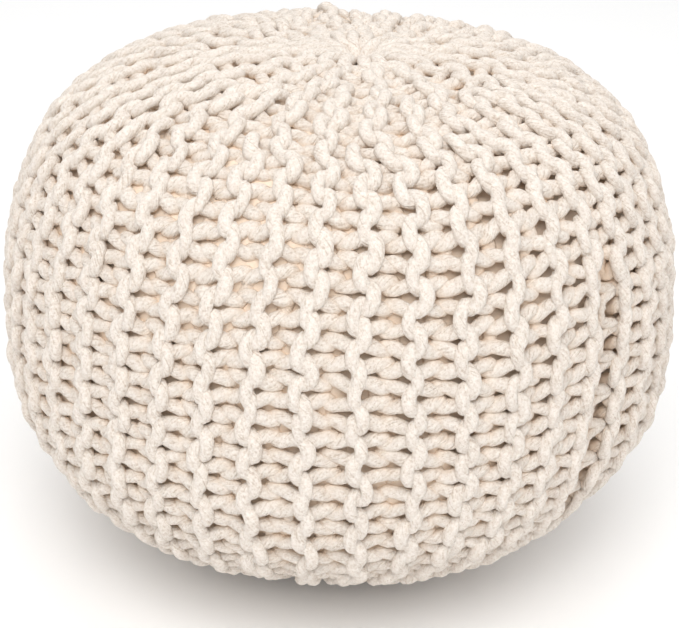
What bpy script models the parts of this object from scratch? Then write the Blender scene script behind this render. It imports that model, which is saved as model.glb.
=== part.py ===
"""Round knitted pouf, standing on its flattened base.

One filled body. Its cover is garter stitch in thick cotton cord, knitted sideways, so the knit
shows as upright ridges that run over the widest girth from the closing gather on the crown to the
underside. Short rows leave fewer ridges near the axis than round the girth: of the three ridges in
each wedge, one reaches the gather and the other two stop on the way. The strip's first and last
courses are sewn together down one side, and that seam draws the cover in a little.
The origin is at the middle of the base, on the surface that the pouf stands on, with +Z up.
"""

import math

import bmesh
import bpy
from mathutils import Vector

# Driving sizes, in metres
DIAMETER = 0.500          # over the ridge crests at the widest girth
CROWN_RISE = 0.221        # from the widest girth up to the flat of the crown
UNDER_DEPTH = 0.176       # from the widest girth down to where an unloaded underside would end
BASE_RADIUS = 0.085       # of the disc that its own weight presses flat
CROWN_SQUARENESS = 3.13   # exponent of the upper curve: 2 is an ellipse, more is squarer
UNDER_SQUARENESS = 2.0    # the same for the lower curve

# The closing gather at the middle of the crown
GATHER_DIP = 0.006        # depth of the drawn-in middle
GATHER_REACH = 0.016      # how far from the axis the dip is felt
PUCKER_RISE = 0.003       # height of the puckered rim round it
PUCKER_RADIUS = 0.030
PUCKER_WIDTH = 0.014

# Knitted ridges
WEDGES = 16
RIDGE_DEPTH = 0.009       # crest to valley
RIDGE_FADE = 0.070        # how far a ridge takes, outwards from its end, to grow to its full width
RELIEF_FADE = 0.060       # relief grows to its full depth this far from the axis
BASE_RELIEF_FADE = 0.030  # relief dies out over this height above the floor
SMALLEST_SHARE = 0.12     # width that a ridge keeps where it has ended
# Each ridge of a wedge ends at its own distance from the axis, on the crown and underneath alike
RIDGES = (
    {"name": "short", "end_radius": 0.135},
    {"name": "long", "end_radius": 0.000},
    {"name": "middle", "end_radius": 0.065},
)
# Points across one ridge, at shares of its width, and how deep each one lies
RIDGE_POINTS = (
    {"name": "left crest", "across": 0.35, "valley": False},
    {"name": "right crest", "across": 0.65, "valley": False},
    {"name": "valley", "across": 1.00, "valley": True},
)

# Sewn seam between the strip's two ends. It lies in the valley where one wedge begins
SEAM_AZIMUTH = math.radians(318)
SEAM_DIP = 0.004
SEAM_WIDTH = 0.020

# Rows of points from the gather to the base
ROWS_OVER_CROWN = 16
ROWS_UNDER_GIRTH = 8
FIRST_ROW_RADIUS = 0.012
CURVE_SAMPLES = 400

CORD_CREAM = (0.86, 0.79, 0.71, 1.0)
CORD_ROUGHNESS = 0.95

RADIUS = DIAMETER / 2
FLAT_SHARE = BASE_RADIUS / RADIUS
GIRTH_HEIGHT = UNDER_DEPTH * (1 - FLAT_SHARE**UNDER_SQUARENESS) ** (1 / UNDER_SQUARENESS)
COLUMNS = WEDGES * len(RIDGES) * len(RIDGE_POINTS)


def smooth_step(low, high, value):
    """0 below low, 1 above high and an even ease between them."""
    share = min(max((value - low) / (high - low), 0.0), 1.0)
    return share * share * (3 - 2 * share)


def gather_height(radius):
    """How far the closing gather lifts or lowers the crown at this distance from the axis."""
    rim = PUCKER_RISE * math.exp(-(((radius - PUCKER_RADIUS) / PUCKER_WIDTH) ** 2))
    dip = GATHER_DIP * math.exp(-((radius / GATHER_REACH) ** 2))
    return rim - dip


def crown_curve():
    """Points of the upper outline, from the axis out to the widest girth."""
    points = []
    for step in range(CURVE_SAMPLES + 1):
        turn = math.pi / 2 * (1 - step / CURVE_SAMPLES)
        radius = RADIUS * math.cos(turn) ** (2 / CROWN_SQUARENESS)
        rise = CROWN_RISE * math.sin(turn) ** (2 / CROWN_SQUARENESS)
        points.append((radius, GIRTH_HEIGHT + rise + gather_height(radius)))
    return points


def under_curve():
    """Points of the lower outline, from the widest girth to the edge of the flat base."""
    last = math.acos(FLAT_SHARE ** (UNDER_SQUARENESS / 2))
    points = []
    for step in range(CURVE_SAMPLES + 1):
        turn = last * step / CURVE_SAMPLES
        radius = RADIUS * math.cos(turn) ** (2 / UNDER_SQUARENESS)
        drop = UNDER_DEPTH * math.sin(turn) ** (2 / UNDER_SQUARENESS)
        points.append((radius, GIRTH_HEIGHT - drop))
    return points


def evenly_spaced(points, count):
    """The same outline with count steps of equal length."""
    lengths = [0.0]
    for (r0, z0), (r1, z1) in zip(points, points[1:]):
        lengths.append(lengths[-1] + math.hypot(r1 - r0, z1 - z0))
    spaced = []
    place = 0
    for step in range(count + 1):
        wanted = lengths[-1] * step / count
        while place < len(points) - 2 and lengths[place + 1] < wanted:
            place += 1
        share = (wanted - lengths[place]) / (lengths[place + 1] - lengths[place])
        (r0, z0), (r1, z1) = points[place], points[place + 1]
        spaced.append((r0 + (r1 - r0) * share, z0 + (z1 - z0) * share))
    return spaced


def outline():
    """The whole half outline: the axis, the rows over the crown and under the girth, the axis again."""
    crown = [point for point in crown_curve() if point[0] >= FIRST_ROW_RADIUS]
    rows = evenly_spaced(crown, ROWS_OVER_CROWN) + evenly_spaced(under_curve(), ROWS_UNDER_GIRTH)[1:]
    rows[-1] = (BASE_RADIUS, 0.0)
    return [(0.0, crown_curve()[0][1])] + rows + [(0.0, 0.0)]


def outward_normals(points):
    """Unit normals of the outline, in its own plane."""
    normals = []
    for index in range(len(points)):
        r0, z0 = points[max(index - 1, 0)]
        r1, z1 = points[min(index + 1, len(points) - 1)]
        along = Vector((r1 - r0, z1 - z0)).normalized()
        normals.append(Vector((-along.y, along.x)))
    return normals


def ridge_shares(radius):
    """Width of each ridge of a wedge, from 1 where it is full to the least where it has ended."""
    shares = []
    for ridge in RIDGES:
        grown = smooth_step(ridge["end_radius"], ridge["end_radius"] + RIDGE_FADE, radius)
        if ridge["end_radius"] == 0:
            grown = 1.0
        shares.append(max(grown, SMALLEST_SHARE))
    return shares


def column_place(column, radius):
    """Azimuth of a column of points at this distance from the axis, and its depth from 0 to 1."""
    wedge, within = divmod(column, len(RIDGES) * len(RIDGE_POINTS))
    ridge, point = divmod(within, len(RIDGE_POINTS))
    shares = ridge_shares(radius)
    across = sum(shares[:ridge]) + shares[ridge] * RIDGE_POINTS[point]["across"]
    azimuth = SEAM_AZIMUTH + (wedge + across / sum(shares)) * 2 * math.pi / WEDGES
    if RIDGE_POINTS[point]["valley"]:
        return azimuth, 1.0
    return azimuth, (1 - shares[ridge]) / (1 - SMALLEST_SHARE)


def seam_dip(azimuth, radius):
    """How far the sewn seam draws the cover in at this azimuth."""
    turned = math.remainder(azimuth - SEAM_AZIMUTH, 2 * math.pi)
    return SEAM_DIP * math.exp(-((turned * radius / SEAM_WIDTH) ** 2))


def relief_share(radius, height):
    """The relief fades out towards the gather and where the underside meets the floor."""
    return smooth_step(0, RELIEF_FADE, radius) * smooth_step(0, BASE_RELIEF_FADE, height)


def make_material():
    """Soft unbleached cotton cord."""
    material = bpy.data.materials.new("cotton_cord")
    material.use_nodes = True
    shader = material.node_tree.nodes["Principled BSDF"]
    shader.inputs["Base Color"].default_value = CORD_CREAM
    shader.inputs["Roughness"].default_value = CORD_ROUGHNESS
    shader.inputs["Metallic"].default_value = 0.0
    return material


def make_pouf(collection):
    """The outline turned about the axis, then its points moved on to the ridges and valleys."""
    points = outline()
    normals = outward_normals(points)
    mesh = bmesh.new()
    row_of = mesh.verts.layers.int.new("row")
    column_of = mesh.verts.layers.int.new("column")
    chain = []
    for row, (radius, height) in enumerate(points):
        vert = mesh.verts.new((radius, 0, height))
        vert[row_of] = row
        chain.append(vert)
    edges = [mesh.edges.new(pair) for pair in zip(chain, chain[1:])]
    bmesh.ops.spin(mesh, geom=chain + edges, cent=(0, 0, 0), axis=(0, 0, 1),
                   angle=2 * math.pi, steps=COLUMNS, use_merge=True, use_duplicate=False)
    for vert in mesh.verts:
        turned = math.atan2(vert.co.y, vert.co.x) / (2 * math.pi)
        vert[column_of] = round(turned * COLUMNS) % COLUMNS
    for vert in mesh.verts:
        radius, height = points[vert[row_of]]
        if radius == 0:
            continue
        azimuth, depth = column_place(vert[column_of], radius)
        sunk = -(RIDGE_DEPTH * depth + seam_dip(azimuth, radius)) * relief_share(radius, height)
        radius += normals[vert[row_of]].x * sunk
        height += normals[vert[row_of]].y * sunk
        vert.co = (radius * math.cos(azimuth), radius * math.sin(azimuth), height)
    bmesh.ops.remove_doubles(mesh, verts=mesh.verts, dist=0.00001)
    bmesh.ops.recalc_face_normals(mesh, faces=mesh.faces)
    data = bpy.data.meshes.new("knitted_pouf")
    mesh.to_mesh(data)
    mesh.free()
    data.shade_smooth()
    data.materials.append(make_material())
    pouf = bpy.data.objects.new("knitted_pouf", data)
    collection.objects.link(pouf)
    return pouf


def main():
    for old in list(bpy.data.objects):
        bpy.data.objects.remove(old)
    collection = bpy.data.collections.new("round_pouf")
    bpy.context.scene.collection.children.link(collection)
    make_pouf(collection)


main()
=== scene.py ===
"""Round knitted pouf: a cover of garter stitch in thick cotton cord over a soft cloth bag.

The cord's path through one stitch is settled first, as a slack cord that may not pass through
itself. The stitches are then laid in courses over the pouf's own outline, with short rows that
leave fewer ridges near the axis, edge loops drawn into the gather, and a sewn seam down one side.
"""
import math

import bmesh
import bpy
import numpy as np
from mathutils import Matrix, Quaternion, Vector


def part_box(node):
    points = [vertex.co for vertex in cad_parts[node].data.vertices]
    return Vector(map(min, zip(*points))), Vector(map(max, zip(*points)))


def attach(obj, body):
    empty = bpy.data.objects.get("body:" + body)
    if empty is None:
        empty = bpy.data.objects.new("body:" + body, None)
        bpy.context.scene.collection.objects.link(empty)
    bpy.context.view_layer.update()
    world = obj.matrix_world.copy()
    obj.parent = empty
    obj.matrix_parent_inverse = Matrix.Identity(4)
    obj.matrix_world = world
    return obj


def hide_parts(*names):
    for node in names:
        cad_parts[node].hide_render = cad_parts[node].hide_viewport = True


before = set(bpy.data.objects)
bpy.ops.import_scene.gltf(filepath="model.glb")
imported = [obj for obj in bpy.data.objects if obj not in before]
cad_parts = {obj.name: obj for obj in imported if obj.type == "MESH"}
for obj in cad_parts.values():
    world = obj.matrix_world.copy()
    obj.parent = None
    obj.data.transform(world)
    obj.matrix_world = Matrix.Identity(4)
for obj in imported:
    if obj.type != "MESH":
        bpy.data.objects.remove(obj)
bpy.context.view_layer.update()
LOW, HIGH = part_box("knitted_pouf")

# Outline of the pouf, in metres: the same curves as in its solid
RADIUS = (HIGH.x - LOW.x) / 2
CROWN_RISE = 0.221
UNDER_DEPTH = 0.176
BASE_RADIUS = 0.085
CROWN_SQUARENESS = 3.13
UNDER_SQUARENESS = 2.0
GATHER_DIP = 0.006
GATHER_REACH = 0.016
PUCKER_RISE = 0.003
PUCKER_RADIUS = 0.030
PUCKER_WIDTH = 0.014
FLAT_SHARE = BASE_RADIUS / RADIUS
GIRTH_HEIGHT = UNDER_DEPTH * (1 - FLAT_SHARE ** UNDER_SQUARENESS) ** (1 / UNDER_SQUARENESS)
OUTLINE_SAMPLES = 800
OUTLINE_STEP = 0.001
NORMAL_BLEND = 0.016      # the outward direction is evened out over twice this length
AXIS_GUARD = 0.004        # least radius in sums that divide by it

# The cord and one stitch
CORD_RADIUS = 0.0047
CREST_STRETCH = 0.0003    # how much thinner the pulled cord is where it lies on a crest
CREST_SHARPNESS = 1.5     # how soon it thins on its way up to the crest
SQUEEZED_DIAMETER = 0.0062  # between the middles of two cords that press on each other
CORD_PER_STITCH = 0.082
STITCH_WIDTH = 0.0170     # from the middle of a valley to the middle of a crest
NARROWER_WIDTHS = (0.0135, 0.0105, 0.0080)  # the same where short rows crowd the ridges
NARROW_SLACK = 1.4        # cord taken up in a stitch for each metre that it is narrower
STITCH_PITCH = 0.0248     # from one stitch to the next along a course
LOOP_OVERLAP = 0.0050     # how far each loop reaches past the middle of the next course's loops
LOOP_LIFT = 0.0060        # how far an unsettled loop stands out from the middle of the knit
LOOP_BELLY = 0.0044       # and how far it swings along the course
STIFFNESS = 0.28
SETTLING_POINTS = 32
SETTLING_STEPS = 380
NARROWING_STEPS = 160     # for each of the narrower widths
OWN_CORD_REACH = 1.35     # in squeezed diameters: nearer points of the same cord don't push apart
LENGTH_PASSES = 12        # how often in a step the cord is brought back to its length
LENGTH_PULL = 0.45
CONTACT_PUSH = 0.125
RINGS_PER_STITCH = 22     # of points, in the finished cord
CORD_SIDES = 9
FLATNESS = 0.12           # how much the cord is pressed flat against the pouf
LUMPINESS = 0.20          # unevenness of the cord's thickness, as a share of its radius
PLY_LAY = 0.034           # length of cord in which a ply goes once round
PRESSED_HEIGHT = 0.0002   # the lowest cords are pressed flat just above the floor

# How the courses lie on the pouf
WEDGES = 16
# The three ridges of a wedge, how many stitches each one stops short of the gathers, and how far
# that may vary
RIDGES = (
    {"name": "short", "stitches_short": 4, "spread": 1},
    {"name": "long", "stitches_short": 0, "spread": 0},
    {"name": "middle", "stitches_short": 2, "spread": 1},
)
PANELS = 8                # pieces that the cover is made in
ARC_SAMPLES = 700
FIRST_STITCH = 0.034      # arc from the middle of the gather to the first whole stitch
SIDE_STRETCH = 1.07       # how much further apart the stitches lie than in the slack cloth
LOW_STRETCH = 0.16        # and how much more than that low down on the side
LOW_STRETCH_BELOW = 0.085  # arc from the girth to the middle of that
LOW_STRETCH_REACH = 0.060
SHORT_ROW_EASE = 0.9      # in stitches: how fast its neighbours close in where a ridge ends
FRONT_AZIMUTH = math.radians(270)
FRONT_SLACK = 0.05        # the ridges are this much further apart at the front than at the sides
STRETCHED_LIFT = 0.85     # share of a loop's lift that is left where the filling stretches it
PROUD = 0.0015            # how far the tallest crests stand out of the outline

# The loops at the ends of the ridges
EDGE_LOOP_REACH = 0.010   # past the last whole stitch, where a ridge stops short of the gather
GATHER_LOOP_REACH = (0.026, 0.017)  # the same for the ridges that reach the gather, in turn
EDGE_LOOP_CORD = 2.2      # length of cord in such a loop for each metre that it reaches
EDGE_LOOP_RINGS = 6       # the fewest in one
EDGE_LOOP_BLUNTNESS = 0.8
GATHER_FLATNESS = 0.4     # how much the drawn-in stitches round the gather are pulled flat
GATHER_FLAT_FADE = (0.035, 0.095)  # radii between which that dies out

# The sewn seam. It is a row of holes under the first height and as the knit is over the second,
# and underneath it closes again, inwards from the second radius to the first
SEAM_AZIMUTH = math.radians(318)
SEAM_OPEN_LEVELS = (0.26, 0.31)
SEAM_OPEN_RADII = (0.05, 0.15)
SEAM_ROOM = 0.005         # for the row of holes, between the strip's last ridge and its first
SEAM_LEFT_GAP = 0.005     # how far the loops on the left of it stop short of it
SEAM_RIGHT_GAP = 0.016    # and those on the right, which leaves the holes beside their ridge
SEAM_SINK = 0.007         # how much deeper the loops on the right lie
SEAM_LOOP_REACH = 0.2     # share left of how far the loops along the seam reach past each other
SEAM_LOOP_CLOSING = 0.60  # how much narrower the sewing cord pulls the loops on the left
SEAM_DRAW = 0.0075        # how far the seam pulls the side in under the girth
SEAM_DRAW_WIDTH = 0.055
SEAM_DRAW_LEVELS = (0.03, 0.12)  # the pull grows to its full strength between these heights

# The sewing cord: it runs beside the seam and reaches across it once in each stitch
SEWING_PLACE = -0.0015    # how far right of the seam it runs
SEWING_REACH = 0.0130     # how far right of the seam each sewing stitch reaches
SEWING_SPAN = 0.13        # in stitches: half the length of seam that a reach out and back takes
SEWING_DEPTH = 0.011      # under the knit's middle where the seam is closed, inside the bag
SEWING_RISE = 0.007       # how much higher it lies beside the holes
SEWING_REACH_RISE = 0.003  # and how much more where it reaches across
SEWING_THICKNESS = 0.8    # as a share of the knitting cord's
SEWING_TIP_THICKNESS = 0.3
SEWING_TIP_PLACE = 0.3    # in stitches: how far short of the strip's edges its hidden tips are
SEWING_RINGS = 24

# How the filling shapes the pouf
CROWN_BLEND = 0.15        # what is only on the crown grows over this height above the girth
CROWN_SETTLE = 0.0054     # how far the crown lies under the plain outline
GATHER_SHIFT = (0.009, 0.002)  # the gather's middle is this far off the axis
GATHER_SHIFT_FADE = (0.02, 0.19)  # radii between which that dies out
LUMP_PLACE = (-0.014, 0.118)  # a stitch that stands up behind the gather
LUMP_RISE = 0.006
LUMP_WIDTH = 0.013
# Where the pouf is fuller than its plain outline, or slacker. Each place has its azimuth and
# height, how far it reaches round (in radians) and up and down, and how far it lifts the cover
FULLNESS = (
    {"name": "shoulder", "azimuth": 0.0, "reach": 100,
     "level": 0.335, "span": 0.030, "lift": 0.0050},
    {"name": "front", "azimuth": math.radians(268), "reach": 0.50,
     "level": 0.098, "span": 0.028, "lift": 0.0045},
    {"name": "under the front", "azimuth": math.radians(262), "reach": 0.60,
     "level": 0.045, "span": 0.035, "lift": -0.0058},
    {"name": "right side", "azimuth": math.radians(350), "reach": 0.42,
     "level": 0.080, "span": 0.070, "lift": -0.0042},
)
FLOOR_BLEND = 0.02        # that dies out over this height above the floor

# The bag
BAG_DEPTH = 0.50          # under the middle of the knit, as a share of a loop's lift
BAG_ROWS = 90
BAG_MERGE = 0.0002        # points at the poles that are nearer than this are merged
BAG_BULGE_SIZE = 0.0007
BAG_BULGE_FADE = (0.02, 0.10)  # radii between which the bulges grow to their full size
BAG_SEAM_DIP = 0.022      # how far the bag is drawn in under the seam's holes
BAG_SEAM_WIDTH = 0.022

# Hand-made unevenness, in metres or as a share
SEED = 11
WANDER_TERMS = 9
WAVES_PER_METRE = 3
SIDEWAYS_WANDER = 0.0016  # of whole areas of the cover, round the pouf
ALONG_WANDER = 0.0020     # along the courses
SWELL_WANDER = 0.0018     # and in and out
SIDEWAYS_FADE = (0.01, 0.06)  # radii between which each grows to its full size
ALONG_FADE = (0.0, 0.10)
SWELL_FADE = (0.09, 0.20)
LOOP_SLACK_SPREAD = 0.0014  # of single stitches: how far they reach past the next course's
STITCH_SHIFT_SPREAD = 0.0013  # where they lie along the course
LIFT_SPREAD = 0.13        # how high they stand
THICKNESS_SPREAD = 0.06   # and how thick their cord is

# Colours and textures
CREAM_SHADE = (0.83, 0.735, 0.645, 1.0)
CREAM_LIGHT = (0.99, 0.92, 0.85, 1.0)
# painted shade: the brown that the cord takes in the hollows of its fibre relief
HOLLOW_SHADE_BROWN = (0.46, 0.33, 0.23, 1.0)
PAINTED_DEPTH_SHADE = (1.0, 0.81, 0.64, 1.0)  # painted warm shade where the cord lies low between the ridges
SHEEN_CREAM = (1.0, 0.96, 0.90, 1.0)
TAN_SHADE = (0.86, 0.70, 0.55, 1.0)
TAN_LIGHT = (0.96, 0.84, 0.72, 1.0)
STRANDS_AROUND = 3.0      # fineness of the fibres round the cord and along it
STRANDS_ALONG = 95.0
FUZZ_SCALE = 480.0
RELIEF_DEPTH = 0.0035
WEAVE_SCALE = 1200.0

RNG = np.random.default_rng(SEED)


def smooth_step(low, high, value):
    """0 below low, 1 above high and an even ease between them."""
    share = np.clip((value - low) / (high - low), 0.0, 1.0)
    return share * share * (3 - 2 * share)


def turned_from(azimuth, other):
    """The turn from the other azimuth to this one, the shorter way round."""
    return np.angle(np.exp(1j * (azimuth - other)))


def gather_height(radius):
    """How far the closing gather lifts or lowers the crown at this distance from the axis."""
    rim = PUCKER_RISE * np.exp(-(((radius - PUCKER_RADIUS) / PUCKER_WIDTH) ** 2))
    dip = GATHER_DIP * np.exp(-((radius / GATHER_REACH) ** 2))
    return rim - dip


def running_length(points):
    """Length along a line of points, from its start to each point."""
    steps = np.linalg.norm(np.diff(points, axis=0), axis=1)
    return np.concatenate([[0.0], np.cumsum(steps)])


def evened(points, step):
    """The same line with points about one step apart."""
    lengths = running_length(points)
    wanted = np.linspace(0, lengths[-1], int(lengths[-1] / step) + 1)
    columns = [np.interp(wanted, lengths, column) for column in points.T]
    return np.stack(columns, axis=1)


class Outline:
    """A line from the axis on the crown to the axis on the base, a set depth under the outline."""

    def __init__(self, depth):
        turn = np.linspace(math.pi / 2, 0, OUTLINE_SAMPLES)
        across = RADIUS * np.cos(turn) ** (2 / CROWN_SQUARENESS)
        rise = CROWN_RISE * np.sin(turn) ** (2 / CROWN_SQUARENESS)
        crown = np.stack([across, GIRTH_HEIGHT + rise], axis=1)
        last = math.acos(FLAT_SHARE ** (UNDER_SQUARENESS / 2))
        turn = np.linspace(0, last, OUTLINE_SAMPLES // 2)[1:]
        across = RADIUS * np.cos(turn) ** (2 / UNDER_SQUARENESS)
        drop = UNDER_DEPTH * np.sin(turn) ** (2 / UNDER_SQUARENESS)
        under = np.stack([across, GIRTH_HEIGHT - drop], axis=1)
        crown[0, 0] = 0
        line = evened(np.concatenate([crown, under, [[0.0, 0.0]]]), OUTLINE_STEP)
        along = np.gradient(line, axis=0)
        along /= np.linalg.norm(along, axis=1)[:, None]
        normal = np.stack([-along[:, 1], along[:, 0]], axis=1)
        reach = int(NORMAL_BLEND / OUTLINE_STEP)
        padded = np.pad(normal, ((reach, reach), (0, 0)), mode="edge")
        window = np.ones(2 * reach + 1) / (2 * reach + 1)
        columns = [np.convolve(column, window, mode="valid") for column in padded.T]
        normal = np.stack(columns, axis=1)
        normal /= np.linalg.norm(normal, axis=1)[:, None]
        line = line - normal * depth
        line[:, 0] = np.maximum(line[:, 0], 0)
        self.line, self.normal = line, normal
        self.arc = running_length(line)
        self.length = self.arc[-1]

    def radius(self, arc):
        return np.interp(arc, self.arc, self.line[:, 0])

    def level(self, arc):
        return np.interp(arc, self.arc, self.line[:, 1])

    def seam_opening(self, arc):
        """1 down the side, where the seam is a row of holes, and 0 where it is as the knit is."""
        closed = smooth_step(*SEAM_OPEN_LEVELS, self.level(arc))
        return (1 - closed) * smooth_step(*SEAM_OPEN_RADII, self.radius(arc))

    def place(self, arc, azimuth, lift):
        """Points of the pouf at these arcs and azimuths, lifted off the line."""
        out = np.interp(arc, self.arc, self.normal[:, 0])
        up = np.interp(arc, self.arc, self.normal[:, 1])
        level = self.level(arc)
        crown = smooth_step(GIRTH_HEIGHT, GIRTH_HEIGHT + CROWN_BLEND, level)
        seam_distance = self.radius(arc) * np.abs(turned_from(azimuth, SEAM_AZIMUTH))
        drawn = SEAM_DRAW * (1 - crown) * np.exp(-((seam_distance / SEAM_DRAW_WIDTH) ** 2))
        drawn = drawn * smooth_step(*SEAM_DRAW_LEVELS, level)
        for place in FULLNESS:
            turned = turned_from(azimuth, place["azimuth"]) / place["reach"]
            away = (level - place["level"]) / place["span"]
            swell = place["lift"] * np.exp(-(turned ** 2) - away ** 2)
            lift = lift + swell * smooth_step(0.0, FLOOR_BLEND, level)
        radius = self.radius(arc) + out * (lift - drawn)
        gathered = gather_height(radius) * (level > GIRTH_HEIGHT)
        height = level + up * lift + gathered - CROWN_SETTLE * crown
        shift = crown * (1 - smooth_step(*GATHER_SHIFT_FADE, radius))
        x = radius * np.cos(azimuth) + GATHER_SHIFT[0] * shift
        y = radius * np.sin(azimuth) + GATHER_SHIFT[1] * shift
        away = np.hypot(x - LUMP_PLACE[0], y - LUMP_PLACE[1]) / LUMP_WIDTH
        height = height + crown * LUMP_RISE * np.exp(-(away ** 2))
        return np.stack([x, y, height], axis=-1)


def unsettled_stitch():
    """A first guess at the cord's line through one stitch, from the crest to the valley and back.

    The columns are across the ridge, along the course, and outwards.
    """
    turn = 2 * np.pi * np.arange(SETTLING_POINTS) / SETTLING_POINTS
    return np.stack([
        -LOOP_OVERLAP + (STITCH_WIDTH + 2 * LOOP_OVERLAP) * (1 - np.cos(turn)) / 2,
        STITCH_PITCH * turn / (2 * np.pi) + LOOP_BELLY * np.sin(2 * turn),
        LOOP_LIFT * np.cos(turn),
    ], axis=1)


def settled(line, width, steps):
    """The line of one stitch once its cord has settled in a cloth of courses that far apart.

    Neighbouring courses have the same line, turned inside out, so one line settles the whole cloth.
    """
    count, pitch = SETTLING_POINTS, STITCH_PITCH
    period = np.array([0.0, pitch, 0.0])
    inside_out = np.array([1.0, 1.0, -1.0])
    piece = (CORD_PER_STITCH - NARROW_SLACK * (STITCH_WIDTH - width)) / count
    own_reach = math.ceil(OWN_CORD_REACH * SQUEEZED_DIAMETER / piece)
    index = np.arange(count)
    copies = [(across, along) for across in range(-2, 3) for along in range(-2, 3)]
    near_self = np.concatenate([
        np.abs(index[None, :] + along * count - index[:, None]) < own_reach
        if across == 0 else np.zeros((count, count), bool)
        for across, along in copies
    ], axis=1)

    def following(points, steps):
        """The point that many steps on, in the next stitch where the line runs past this one."""
        rolled = np.roll(points, -steps, axis=0)
        if steps > 0:
            rolled[count - steps:] += period
        else:
            rolled[:-steps] -= period
        return rolled

    for _ in range(steps):
        curl = (following(line, 1) + following(line, -1)) / 2 - line
        curl_nearby = (np.roll(curl, 1, axis=0) + np.roll(curl, -1, axis=0)) / 2
        line = line - STIFFNESS * (curl_nearby - curl)
        for _ in range(LENGTH_PASSES):
            step = following(line, 1) - line
            span = np.linalg.norm(step, axis=1)[:, None]
            pull = LENGTH_PULL * (span - piece) * step / span
            line = line + pull - np.roll(pull, 1, axis=0)
        others = np.concatenate([
            line * (inside_out if across % 2 else 1) + [across * width, along * pitch, 0]
            for across, along in copies
        ])
        apart = line[:, None] - others[None]
        distance = np.linalg.norm(apart, axis=2)
        too_near = np.where(near_self, 0, np.maximum(SQUEEZED_DIAMETER - distance, 0))
        push = (too_near / np.maximum(distance, 1e-9))[..., None] * apart
        touching = np.maximum((too_near > 0).sum(axis=1), 1)[:, None]
        line = line + CONTACT_PUSH * push.sum(axis=1) / np.sqrt(touching)
        line[:, 1] -= line[:, 1].mean() - pitch * (count - 1) / count / 2
        line[:, 0] -= line[:, 0].mean() - width / 2
    return line


class Stitches:
    """The settled stitch at a few widths, and the blend of them that fits each place."""

    def __init__(self):
        line, width = settled(unsettled_stitch(), STITCH_WIDTH, SETTLING_STEPS), STITCH_WIDTH
        self.highest = line[:, 2].max()
        rows = [self.as_row(line, width)]
        for narrower in NARROWER_WIDTHS:
            line = settled(line * [narrower / width, 1, 1], narrower, NARROWING_STEPS)
            width = narrower
            rows.insert(0, self.as_row(line, width))
        self.rows = np.array(rows)
        self.widths = (STITCH_WIDTH,) + NARROWER_WIDTHS

    @staticmethod
    def as_row(line, width):
        """For each ring of a stitch: its share of the way across, how far past either side it is,
        how far along the course, and how far out."""
        closed = np.concatenate([line, line[:1] + [0.0, STITCH_PITCH, 0.0]])
        wanted = np.arange(RINGS_PER_STITCH) * SETTLING_POINTS / RINGS_PER_STITCH
        known = np.arange(SETTLING_POINTS + 1)
        across, along, out = (np.interp(wanted, known, closed[:, k]) for k in range(3))
        share = np.clip(across / width, 0, 1)
        return np.stack([share, across - share * width, along, out], axis=1)

    def fitted(self, widths):
        """The four columns for every ring of whole stitches, for a half ridge of these widths."""
        place = np.interp(widths, self.widths[::-1], np.arange(len(self.widths)))
        below = np.minimum(place.astype(int), len(self.widths) - 2)
        above = (place - below)[:, None]
        ring = np.arange(len(widths)) % RINGS_PER_STITCH
        return (self.rows[below, ring] * (1 - above) + self.rows[below + 1, ring] * above).T


def wander(scale, waves, seed):
    """A gentle field over azimuth and arc, about one scale high, that has no seam."""
    draw = np.random.default_rng(seed)
    terms = [(draw.integers(0, waves), draw.uniform(-waves, waves) * WAVES_PER_METRE,
              draw.uniform(0, 2 * math.pi)) for _ in range(WANDER_TERMS)]

    def field(azimuth, arc):
        total = sum(np.cos(k * azimuth + q * arc + p) for k, q, p in terms)
        return scale * total / math.sqrt(len(terms) / 2)

    return field


SIDEWAYS = wander(SIDEWAYS_WANDER, waves=9, seed=1)
ALONG = wander(ALONG_WANDER, waves=9, seed=2)
SWELL = wander(SWELL_WANDER, waves=5, seed=3)
BAG_BULGE = wander(BAG_BULGE_SIZE, waves=34, seed=4)


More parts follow.
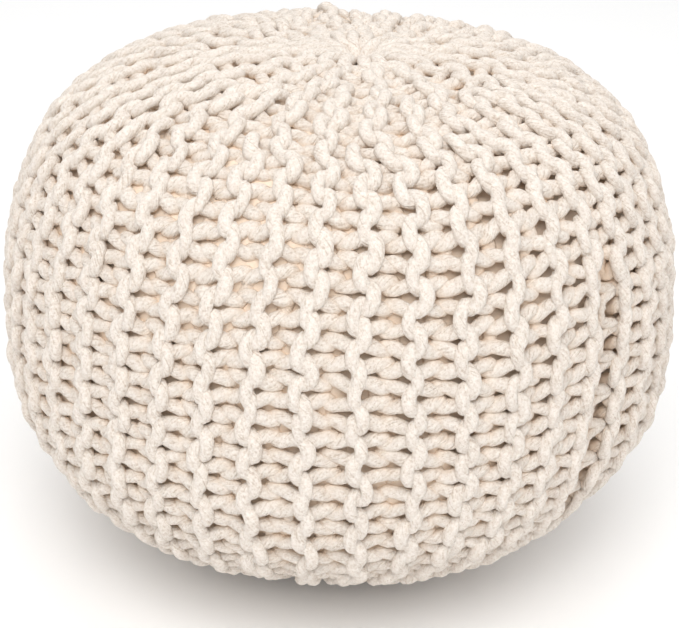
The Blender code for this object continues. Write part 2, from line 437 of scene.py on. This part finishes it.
class Courses:
    """Where each ridge starts, ends and lies. A ridge is a course on each side of its crest."""

    def __init__(self, outline):
        self.outline = outline
        self.count = WEDGES * len(RIDGES)
        self.arcs = np.linspace(0, outline.length, ARC_SAMPLES)
        girth = outline.arc[outline.line[:, 0].argmax()]
        below = (self.arcs - girth - LOW_STRETCH_BELOW) / LOW_STRETCH_REACH
        pitch = STITCH_PITCH * (SIDE_STRETCH + LOW_STRETCH * np.exp(-(below ** 2)))
        turns = np.cumsum(1 / pitch) * outline.length / ARC_SAMPLES
        start, end = np.interp([FIRST_STITCH, outline.length - FIRST_STITCH], self.arcs, turns)
        self.rings = round(end - start)
        self.known_rings = (turns - start) * self.rings / (end - start)
        self.first, self.last = [], []
        for number in range(self.count):
            kind = RIDGES[number % len(RIDGES)]
            spread = kind["spread"]
            stops = kind["stitches_short"] + RNG.integers(-spread, spread + 1, 2)
            self.first.append(int(stops[0]))
            self.last.append(int(self.rings - stops[1]))
        shares = []
        ease = SHORT_ROW_EASE * STITCH_PITCH
        for first, last in zip(self.first, self.last):
            start, end = self.ring_arc(first), self.ring_arc(last)
            share = np.ones_like(self.arcs)
            if first > 0:
                share *= smooth_step(start - ease, start + ease, self.arcs)
                share *= 1 - smooth_step(end - ease, end + ease, self.arcs)
            shares.append(share)
        within = np.cumsum(np.reshape(shares, (WEDGES, len(RIDGES), -1)), axis=1)
        within = within / within[:, -1:] + np.arange(WEDGES)[:, None, None]
        edges = np.concatenate([np.zeros((1, len(self.arcs))), within.reshape(self.count, -1)])
        radius = np.maximum(outline.radius(self.arcs), AXIS_GUARD)
        room = SEAM_ROOM * outline.seam_opening(self.arcs) / radius
        turned = (2 * math.pi - room) * edges / WEDGES + SEAM_AZIMUTH
        at_seam = math.sin(SEAM_AZIMUTH - FRONT_AZIMUTH)
        self.edges = turned + FRONT_SLACK * (np.sin(turned - FRONT_AZIMUTH) - at_seam)

    def ring_arc(self, ring):
        """Arc at a number of stitches from the first, which may be a fraction."""
        return np.interp(ring, self.known_rings, self.arcs)

    def valley(self, number, arc):
        return np.interp(arc, self.arcs, self.edges[number])

    def crest(self, number, arc):
        return (self.valley(number, arc) + self.valley(number + 1, arc)) / 2

    def half_width(self, number, arc):
        """From the valley to the crest of a ridge, in metres."""
        turned = self.valley(number + 1, arc) - self.valley(number, arc)
        return turned / 2 * self.outline.radius(arc)

    def lay(self, arc, start, end, share, past, lift):
        """Points at a share of the way from one line of azimuths to another, and metres past it."""
        radius = np.maximum(self.outline.radius(arc), AXIS_GUARD)
        azimuth = start + (end - start) * share + past / radius
        shifted = azimuth + SIDEWAYS(azimuth, arc) / radius * smooth_step(*SIDEWAYS_FADE, radius)
        moved = arc + ALONG(azimuth, arc) * smooth_step(*ALONG_FADE, radius)
        rise = lift + SWELL(azimuth, arc) * smooth_step(*SWELL_FADE, radius)
        return self.outline.place(moved, shifted, rise)


def stitch_noise(stitches, spread):
    """One random value for each half stitch of a course, eased into a value for each ring."""
    knots = RNG.normal(0, spread, 2 * stitches + 1)
    wanted = np.arange(stitches * RINGS_PER_STITCH) * 2 / RINGS_PER_STITCH
    return np.interp(wanted, np.arange(2 * stitches + 1), np.clip(knots, -2 * spread, 2 * spread))


def course_line(courses, number, side, kit):
    """The cord's line, thickness and lift along one course, from the crown down."""
    first, last = courses.first[number], courses.last[number]
    count = last - first
    arc = courses.ring_arc(np.linspace(first, last, count * RINGS_PER_STITCH, endpoint=False))
    share, past, along, out = kit.fitted(courses.half_width(number, arc))
    opening = courses.outline.seam_opening(arc)
    if (number, side) == (courses.count - 1, "right"):
        along = along + (STITCH_PITCH / 2 - along) * SEAM_LOOP_CLOSING * opening * np.sqrt(share)
    ring = np.repeat(np.arange(first, last), RINGS_PER_STITCH)
    arc = courses.ring_arc(ring + along / STITCH_PITCH) + stitch_noise(count, STITCH_SHIFT_SPREAD)
    past = past + stitch_noise(count, LOOP_SLACK_SPREAD)
    radius = courses.outline.radius(arc)
    flat = GATHER_FLATNESS * (1 - smooth_step(*GATHER_FLAT_FADE, radius))
    lift = out * (1 + stitch_noise(count, LIFT_SPREAD)) * (1 - flat) * STRETCHED_LIFT
    crest = courses.crest(number, arc)
    left, right = courses.valley(number, arc), courses.valley(number + 1, arc)
    if number == 0:
        left = left + SEAM_RIGHT_GAP * opening / radius
    if number == courses.count - 1:
        right = right - SEAM_LEFT_GAP * opening / radius
    if (number, side) in ((0, "left"), (courses.count - 1, "right")):
        past = past * (1 - (1 - SEAM_LOOP_REACH) * opening)
    start, end = (left, crest) if side == "left" else (crest, right)
    if side == "left":
        lift = -lift
    if (number, side) == (0, "left"):
        lift = lift - SEAM_SINK * opening * (1 - share)
    line = courses.lay(arc, start, end, share, past, lift)
    crestward = np.clip(lift / kit.highest, 0, 1) ** CREST_SHARPNESS
    thick = CORD_RADIUS * (1 + stitch_noise(count, THICKNESS_SPREAD)) - CREST_STRETCH * crestward
    return line, thick, lift


def edge_loop(courses, number, end, kit):
    """The turn from the end of one course of a ridge to the start of the other."""
    long_ridge = RIDGES[number % len(RIDGES)]["name"] == "long"
    ring = courses.first[number] if end == "top" else courses.last[number]
    reach = EDGE_LOOP_REACH
    if long_ridge:
        reach = GATHER_LOOP_REACH[(number // len(RIDGES)) % len(GATHER_LOOP_REACH)]
    ring_spacing = CORD_PER_STITCH / RINGS_PER_STITCH
    count = max(EDGE_LOOP_RINGS, round(EDGE_LOOP_CORD * reach / ring_spacing))
    turn = np.linspace(0, 1, count + 2)[1:-1]
    way = -1 if end == "top" else 1
    arc = courses.ring_arc(ring) + way * reach * np.sin(np.pi * turn) ** EDGE_LOOP_BLUNTNESS
    lift = -np.cos(np.pi * turn) * kit.highest
    if long_ridge:
        lift = lift * (1 - GATHER_FLATNESS)
    left, crest = courses.valley(number, arc), courses.crest(number, arc)
    line = courses.lay(arc, left, crest, turn, np.zeros(count), lift)
    return line, np.full(count, CORD_RADIUS), lift


def ridge_line(courses, number, kit):
    """One closed line of cord for a ridge, with its thickness and lift: up its left course, over
    the edge loop, down the right course and back under the lower edge loop."""
    left = course_line(courses, number, "left", kit)
    right = course_line(courses, number, "right", kit)
    top = edge_loop(courses, number, "top", kit)
    bottom = edge_loop(courses, number, "bottom", kit)
    return [softened(np.concatenate([up[::-1], over, down, under[::-1]]))
            for up, over, down, under in zip(left, top, right, bottom)]


def softened(values):
    """The values along a closed line with small corners eased out."""
    for _ in range(2):
        values = values / 2 + (np.roll(values, 1, axis=0) + np.roll(values, -1, axis=0)) / 4
    return values


def carried_frames(line, closed):
    """A side vector and a second one at each point of a line, carried along it without twisting."""
    ahead, behind = np.roll(line, -1, axis=0), np.roll(line, 1, axis=0)
    if not closed:
        ahead[-1], behind[0] = line[-1], line[0]
    along = ahead - behind
    along /= np.linalg.norm(along, axis=1)[:, None]
    side = np.cross(along[0], [0.0, 0.0, 1.0])
    sides = [side / np.linalg.norm(side)]
    for direction in along[1:]:
        side = sides[-1] - direction * (sides[-1] @ direction)
        sides.append(side / math.sqrt(side @ side))
    sides = np.array(sides)
    seconds = np.cross(along, sides)
    if closed:
        last = sides[-1] - along[0] * (sides[-1] @ along[0])
        left_over = math.atan2(last @ seconds[0], last @ sides[0])
        turn = -left_over * np.arange(len(line))[:, None] / len(line)
        sides, seconds = (sides * np.cos(turn) + seconds * np.sin(turn),
                          seconds * np.cos(turn) - sides * np.sin(turn))
    return sides, seconds


def lumps(count):
    """Smooth random unevenness around and along a cord of that many rings."""
    field = RNG.normal(0, 1, (count, CORD_SIDES))
    for axis in (0, 1):
        field = field / 2 + (np.roll(field, 1, axis=axis) + np.roll(field, -1, axis=axis)) / 4
    return np.clip(field, -1, 1)


def cord_mesh(name, cords):
    """One mesh of round cords. Each cord is its line, thickness and lift, and whether it is closed.

    The attribute crest_height is 1 on top of the crests and -1 at the bottom of the valleys.
    """
    points, faces, maps, heights = [], [], [], []
    placed = 0
    corner = np.arange(CORD_SIDES)
    angle = 2 * np.pi * corner / CORD_SIDES
    for line, thick, lift, closed in cords:
        count = len(line)
        sides, seconds = carried_frames(line, closed)
        length = running_length(np.concatenate([line, line[:1]]) if closed else line)
        reach = (thick[:, None] * (1 + LUMPINESS * lumps(count)))[..., None]
        offset = reach * (np.cos(angle)[None, :, None] * sides[:, None]
                          + np.sin(angle)[None, :, None] * seconds[:, None])
        out = line - [0.0, 0.0, GIRTH_HEIGHT]
        out = (out / np.linalg.norm(out, axis=1)[:, None])[:, None]
        outward = (offset * out).sum(axis=2)
        pressed = offset * (1 + FLATNESS / 2) - out * outward[..., None] * FLATNESS * 1.5
        heights.append(((lift[:, None] + outward) / (LOOP_LIFT + CORD_RADIUS)).ravel())
        surface = (line[:, None] + pressed).reshape(-1, 3)
        surface[:, 2] = np.maximum(surface[:, 2], PRESSED_HEIGHT)
        points.append(surface)
        spans = count if closed else count - 1
        here, there = np.arange(spans), (np.arange(spans) + 1) % count
        far = (corner + 1) % CORD_SIDES
        quads = np.stack([
            here[:, None] * CORD_SIDES + corner, here[:, None] * CORD_SIDES + far,
            there[:, None] * CORD_SIDES + far, there[:, None] * CORD_SIDES + corner,
        ], axis=-1).reshape(-1, 4)
        faces.append(quads + placed)
        start = np.broadcast_to(length[:spans, None], (spans, CORD_SIDES))
        end = np.broadcast_to(length[1:spans + 1, None], (spans, CORD_SIDES))
        low = np.broadcast_to(corner / CORD_SIDES, (spans, CORD_SIDES))
        high = np.broadcast_to((corner + 1) / CORD_SIDES, (spans, CORD_SIDES))
        maps.append(np.stack([
            np.stack([start, low], -1), np.stack([start, high], -1),
            np.stack([end, high], -1), np.stack([end, low], -1),
        ], axis=2).reshape(-1, 2))
        placed += count * CORD_SIDES
    mesh = bpy.data.meshes.new(name)
    mesh.from_pydata(np.concatenate(points).tolist(), [], np.concatenate(faces).tolist())
    layer = mesh.uv_layers.new(name="cord_map")
    layer.data.foreach_set("uv", np.concatenate(maps).astype(np.float32).ravel())
    crest_height = mesh.attributes.new("crest_height", "FLOAT", "POINT")
    crest_height.data.foreach_set("value", np.concatenate(heights).astype(np.float32))
    mesh.shade_smooth()
    mesh.update()
    piece = bpy.data.objects.new(name, mesh)
    bpy.context.scene.collection.objects.link(piece)
    return piece


def node(tree, kind, inputs=None, **settings):
    """A new node with its settings and the values or links of its inputs."""
    made = tree.nodes.new(kind)
    for name, value in settings.items():
        setattr(made, name, value)
    for name, value in (inputs or {}).items():
        if isinstance(value, bpy.types.NodeSocket):
            tree.links.new(value, made.inputs[name])
        else:
            made.inputs[name].default_value = value
    return made


def maths(tree, operation, *values):
    """The output of a Math node."""
    return node(tree, "ShaderNodeMath", dict(enumerate(values)), operation=operation).outputs[0]


def cord_material():
    """Soft plied cotton cord: pale cream, matt, with short loose fibres that wind round it. Its
    colour carries painted shade: brown in the hollows of the fibre relief, and a warm tint where
    the cord lies low between the ridges.
    """
    material = bpy.data.materials.new("cotton_cord")
    material.use_nodes = True
    tree = material.node_tree
    shader = tree.nodes["Principled BSDF"]
    shader.inputs["Roughness"].default_value = 0.95
    shader.inputs["Specular IOR Level"].default_value = 0.10
    shader.inputs["Sheen Weight"].default_value = 0.20
    shader.inputs["Sheen Roughness"].default_value = 0.6
    shader.inputs["Sheen Tint"].default_value = SHEEN_CREAM
    place = node(tree, "ShaderNodeTexCoord")
    along, around, _ = node(tree, "ShaderNodeSeparateXYZ", {"Vector": place.outputs["UV"]}).outputs
    round_turn = maths(tree, "MULTIPLY", around, 2 * math.pi)
    lay = maths(tree, "MULTIPLY_ADD", along, 2 * math.pi / PLY_LAY, round_turn)
    wound = node(tree, "ShaderNodeCombineXYZ", {
        "X": maths(tree, "MULTIPLY", maths(tree, "COSINE", lay), STRANDS_AROUND),
        "Y": maths(tree, "MULTIPLY", maths(tree, "SINE", lay), STRANDS_AROUND),
        "Z": maths(tree, "MULTIPLY", along, STRANDS_ALONG),
    }).outputs[0]
    strands = node(tree, "ShaderNodeTexNoise", {
        "Vector": wound, "Scale": 1.0, "Detail": 4.0, "Roughness": 0.65,
    })
    fuzz = node(tree, "ShaderNodeTexNoise", {
        "Vector": place.outputs["Object"], "Scale": FUZZ_SCALE, "Detail": 4.0, "Roughness": 0.75,
    })
    height = maths(tree, "MULTIPLY_ADD", strands.outputs["Fac"], 0.7,
                   maths(tree, "MULTIPLY", fuzz.outputs["Fac"], 0.3))
    outward = node(tree, "ShaderNodeAttribute", attribute_name="crest_height").outputs["Fac"]
    smoothed = node(tree, "ShaderNodeMapRange", {
        "Value": outward, "From Min": 0.3, "From Max": 0.9, "To Min": 0.8, "To Max": 0.65,
    }).outputs["Result"]
    relief = node(tree, "ShaderNodeBump", {
        "Strength": 1.0, "Distance": RELIEF_DEPTH,
        "Height": maths(tree, "MULTIPLY", height, smoothed),
    })
    tree.links.new(relief.outputs["Normal"], shader.inputs["Normal"])
    mottle = node(tree, "ShaderNodeMapRange", {
        "Value": fuzz.outputs["Fac"],
        "From Min": 0.38, "From Max": 0.60, "To Min": 0.0, "To Max": 1.0,
    }).outputs["Result"]
    cream = node(tree, "ShaderNodeMix", {
        "Factor": mottle, "A": CREAM_SHADE, "B": CREAM_LIGHT,
    }, data_type="RGBA").outputs["Result"]
    # painted shade: the cord is mixed towards brown where its fibre relief is low, less so on the
    # crests
    hollow_shade = node(tree, "ShaderNodeMapRange", {
        "Value": height, "From Min": 0.48, "From Max": 0.37, "To Min": 0.0, "To Max": 0.60,
    }, interpolation_type="SMOOTHSTEP").outputs["Result"]
    hollow_shaded = node(tree, "ShaderNodeMix", {
        "Factor": maths(tree, "MULTIPLY", hollow_shade, smoothed), "A": cream, "B": HOLLOW_SHADE_BROWN,
    }, data_type="RGBA").outputs["Result"]
    # painted shade: a warm tint where the cord lies low between the ridges, read from the
    # crest_height attribute
    painted_depth_shade = node(tree, "ShaderNodeMapRange", {
        "Value": outward, "From Min": 0.45, "From Max": -0.45, "To Min": 0.0, "To Max": 1.0,
    }, interpolation_type="SMOOTHSTEP").outputs["Result"]
    colour = node(tree, "ShaderNodeMix", {
        "Factor": painted_depth_shade, "A": hollow_shaded, "B": PAINTED_DEPTH_SHADE,
    }, data_type="RGBA")
    tree.links.new(colour.outputs["Result"], shader.inputs["Base Color"])
    return material


def bag_material():
    """Plain tan cotton cloth of the inner bag, in a fine plain weave."""
    material = bpy.data.materials.new("bag_cloth")
    material.use_nodes = True
    tree = material.node_tree
    shader = tree.nodes["Principled BSDF"]
    shader.inputs["Roughness"].default_value = 0.9
    shader.inputs["Specular IOR Level"].default_value = 0.15
    place = node(tree, "ShaderNodeTexCoord").outputs["Object"]
    weave = node(tree, "ShaderNodeTexNoise", {"Vector": place, "Scale": WEAVE_SCALE}).outputs["Fac"]
    tan = node(tree, "ShaderNodeMix", {
        "Factor": weave, "A": TAN_SHADE, "B": TAN_LIGHT,
    }, data_type="RGBA")
    tree.links.new(tan.outputs["Result"], shader.inputs["Base Color"])
    relief = node(tree, "ShaderNodeBump", {"Strength": 0.3, "Distance": 0.0004, "Height": weave})
    tree.links.new(relief.outputs["Normal"], shader.inputs["Normal"])
    return material


def make_cover(courses, kit, material):
    """The knitted cover, in panels of neighbouring ridges."""
    lines = [ridge_line(courses, number, kit) for number in range(courses.count)]
    panels = []
    each = courses.count // PANELS
    for panel in range(PANELS):
        cords = [(*line, True) for line in lines[panel * each:(panel + 1) * each]]
        piece = cord_mesh(f"knit_panel_{panel + 1}", cords)
        piece.data.materials.append(material)
        panels.append(piece)
    return panels


def make_seam(courses, material):
    """The cord that sews the strip's two ends together: it runs down the seam and reaches over each
    loop of the first ridge, which leaves a row of holes between its stitches."""
    outline = courses.outline
    count = courses.rings * SEWING_RINGS
    turn = np.linspace(SEWING_TIP_PLACE, courses.rings - SEWING_TIP_PLACE, count)
    reaching = np.exp(-(((turn % 1 - 0.5) / SEWING_SPAN) ** 2))
    arc = courses.ring_arc(turn)
    radius = np.maximum(outline.radius(arc), AXIS_GUARD)
    opening = outline.seam_opening(arc)
    across = (SEWING_PLACE + (SEWING_REACH - SEWING_PLACE) * reaching) * opening
    azimuth = courses.valley(0, arc) + across / radius
    azimuth += SIDEWAYS(azimuth, arc) / radius * smooth_step(*SIDEWAYS_FADE, radius)
    rise = -SEWING_DEPTH + (SEWING_RISE + SEWING_REACH_RISE * reaching) * opening
    rise = rise + SWELL(azimuth, arc) * smooth_step(*SWELL_FADE, radius)
    line = outline.place(arc, azimuth, rise)
    thick = np.full(count, CORD_RADIUS * SEWING_THICKNESS)
    thick[0] = thick[-1] = CORD_RADIUS * SEWING_TIP_THICKNESS
    piece = cord_mesh("seam_cord", [(line, thick, rise, False)])
    mesh = bmesh.new()
    mesh.from_mesh(piece.data)
    rims = [edge for edge in mesh.edges if edge.is_boundary]
    bmesh.ops.holes_fill(mesh, edges=rims, sides=CORD_SIDES)
    mesh.to_mesh(piece.data)
    mesh.free()
    piece.data.materials.append(material)
    return piece


def make_bag(depth, material):
    """The filled cloth bag inside the cover: soft, a little uneven, and drawn in under the seam."""
    outline = Outline(depth)
    arcs = np.linspace(0, outline.length, BAG_ROWS)
    mesh = bmesh.new()
    row_of = mesh.verts.layers.int.new("row")
    chain = []
    for row, arc in enumerate(arcs):
        vert = mesh.verts.new((outline.radius(arc), 0, outline.level(arc)))
        vert[row_of] = row
        chain.append(vert)
    edges = [mesh.edges.new(pair) for pair in zip(chain, chain[1:])]
    bmesh.ops.spin(mesh, geom=chain + edges, cent=(0, 0, 0), axis=(0, 0, 1),
                   angle=2 * math.pi, steps=2 * BAG_ROWS, use_merge=True, use_duplicate=False)
    bmesh.ops.remove_doubles(mesh, verts=mesh.verts, dist=BAG_MERGE)
    arc = arcs[[vert[row_of] for vert in mesh.verts]]
    azimuth = np.array([math.atan2(vert.co.y, vert.co.x) for vert in mesh.verts])
    radius = outline.radius(arc)
    from_seam = radius * np.abs(turned_from(azimuth, SEAM_AZIMUTH))
    dip = BAG_SEAM_DIP * np.exp(-((from_seam / BAG_SEAM_WIDTH) ** 2))
    lift = BAG_BULGE(azimuth, arc) * smooth_step(*BAG_BULGE_FADE, radius)
    lift -= dip * outline.seam_opening(arc)
    for vert, place in zip(mesh.verts, outline.place(arc, azimuth, lift)):
        vert.co = place
    bmesh.ops.recalc_face_normals(mesh, faces=mesh.faces)
    data = bpy.data.meshes.new("inner_bag")
    mesh.to_mesh(data)
    mesh.free()
    data.shade_smooth()
    data.materials.append(material)
    bag = bpy.data.objects.new("inner_bag", data)
    bpy.context.scene.collection.objects.link(bag)
    return bag


def make_floor():
    """A plain pale floor."""
    mesh = bmesh.new()
    bmesh.ops.create_grid(mesh, x_segments=1, y_segments=1, size=12)
    data = bpy.data.meshes.new("floor")
    mesh.to_mesh(data)
    mesh.free()
    material = bpy.data.materials.new("pale_floor")
    material.use_nodes = True
    shader = material.node_tree.nodes["Principled BSDF"]
    shader.inputs["Base Color"].default_value = (0.98, 0.98, 0.98, 1.0)
    shader.inputs["Roughness"].default_value = 0.8
    shader.inputs["Specular IOR Level"].default_value = 0.1
    shader.inputs["Emission Color"].default_value = (1.0, 1.0, 1.0, 1.0)
    shader.inputs["Emission Strength"].default_value = 0.03
    data.materials.append(material)
    floor = bpy.data.objects.new("floor", data)
    bpy.context.scene.collection.objects.link(floor)


def area_light(name, place, aim, size, power, colour):
    """A square soft light at a place, turned towards a point."""
    light = bpy.data.lights.new(name, "AREA")
    light.size = size
    light.energy = power
    light.color = colour
    lamp = bpy.data.objects.new(name, light)
    lamp.location = place
    lamp.rotation_mode = "QUATERNION"
    lamp.rotation_quaternion = (Vector(aim) - Vector(place)).to_track_quat("-Z", "Y")
    bpy.context.scene.collection.objects.link(lamp)


def make_light():
    """Soft white studio light from the front and above, weak fills from both sides, and a white
    surround that is dark near the horizon."""
    scene = bpy.context.scene
    scene.view_settings.view_transform = "Standard"
    world = bpy.data.worlds.new("studio")
    world.use_nodes = True
    tree = world.node_tree
    direction = node(tree, "ShaderNodeTexCoord").outputs["Generated"]
    _, _, upward = node(tree, "ShaderNodeSeparateXYZ", {"Vector": direction}).outputs
    back = tree.nodes["Background"]
    back.inputs["Color"].default_value = (1.0, 1.0, 1.0, 1.0)
    tree.links.new(node(tree, "ShaderNodeMapRange", {
        "Value": upward, "From Min": 0.10, "From Max": 0.55, "To Min": 0.05, "To Max": 0.82,
    }).outputs["Result"], back.inputs["Strength"])
    scene.world = world
    aim = (0.0, 0.0, 0.2)
    area_light("front_softbox", (-0.1, -1.6, 2.0), aim, 1.4, 31.5, (1.0, 0.985, 0.965))
    area_light("left_fill", (-1.9, -0.9, 1.3), aim, 1.4, 3, (1.0, 0.99, 0.98))
    area_light("right_fill", (1.9, -0.9, 1.3), aim, 1.4, 4, (1.0, 0.99, 0.98))
    area_light("back_floor", (0.0, 1.5, 1.9), (0.0, 1.4, 0.0), 2.0, 7, (1.0, 1.0, 1.0))


# Camera, found from the outline in the photograph
ELEVATION = math.radians(25.6)
DISTANCE = 5.0 * RADIUS
FOCAL_PIXELS = 1631
PICTURE_WIDTH, PICTURE_HEIGHT = 679, 628
GIRTH_PIXEL = (336.8, 321.6)
ROLL = math.radians(1.79)
SENSOR = 36.0


def make_camera():
    """The photograph's view: from the front, a little above, and turned slightly."""
    data = bpy.data.cameras.new("camera")
    data.sensor_width = SENSOR
    data.lens = FOCAL_PIXELS * SENSOR / PICTURE_WIDTH
    camera = bpy.data.objects.new("camera", data)
    back = Vector((0, -math.cos(ELEVATION), math.sin(ELEVATION)))
    right = Vector((1, 0, 0))
    up = Vector((0, math.sin(ELEVATION), math.cos(ELEVATION)))
    centre = Vector((0, 0, GIRTH_HEIGHT))
    per_pixel = DISTANCE / FOCAL_PIXELS
    aim = centre + right * (PICTURE_WIDTH / 2 - GIRTH_PIXEL[0]) * per_pixel
    aim += up * (GIRTH_PIXEL[1] - PICTURE_HEIGHT / 2) * per_pixel
    camera.location = centre + back * DISTANCE
    camera.rotation_mode = "QUATERNION"
    level = (aim - camera.location).to_track_quat("-Z", "Y")
    camera.rotation_quaternion = level @ Quaternion((0, 0, 1), ROLL)
    bpy.context.scene.collection.objects.link(camera)
    bpy.context.scene.camera = camera
    return camera


def main():
    kit = Stitches()
    depth = kit.highest * STRETCHED_LIFT + CORD_RADIUS * (1 - FLATNESS) - CREST_STRETCH - PROUD
    courses = Courses(Outline(depth))
    cotton, cloth = cord_material(), bag_material()
    panels = make_cover(courses, kit, cotton)
    seam = make_seam(courses, cotton)
    bag = make_bag(depth + kit.highest * BAG_DEPTH, cloth)
    for piece in panels + [seam, bag]:
        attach(piece, "root")
        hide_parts("knitted_pouf")
    make_floor()
    make_light()
    make_camera()


main()
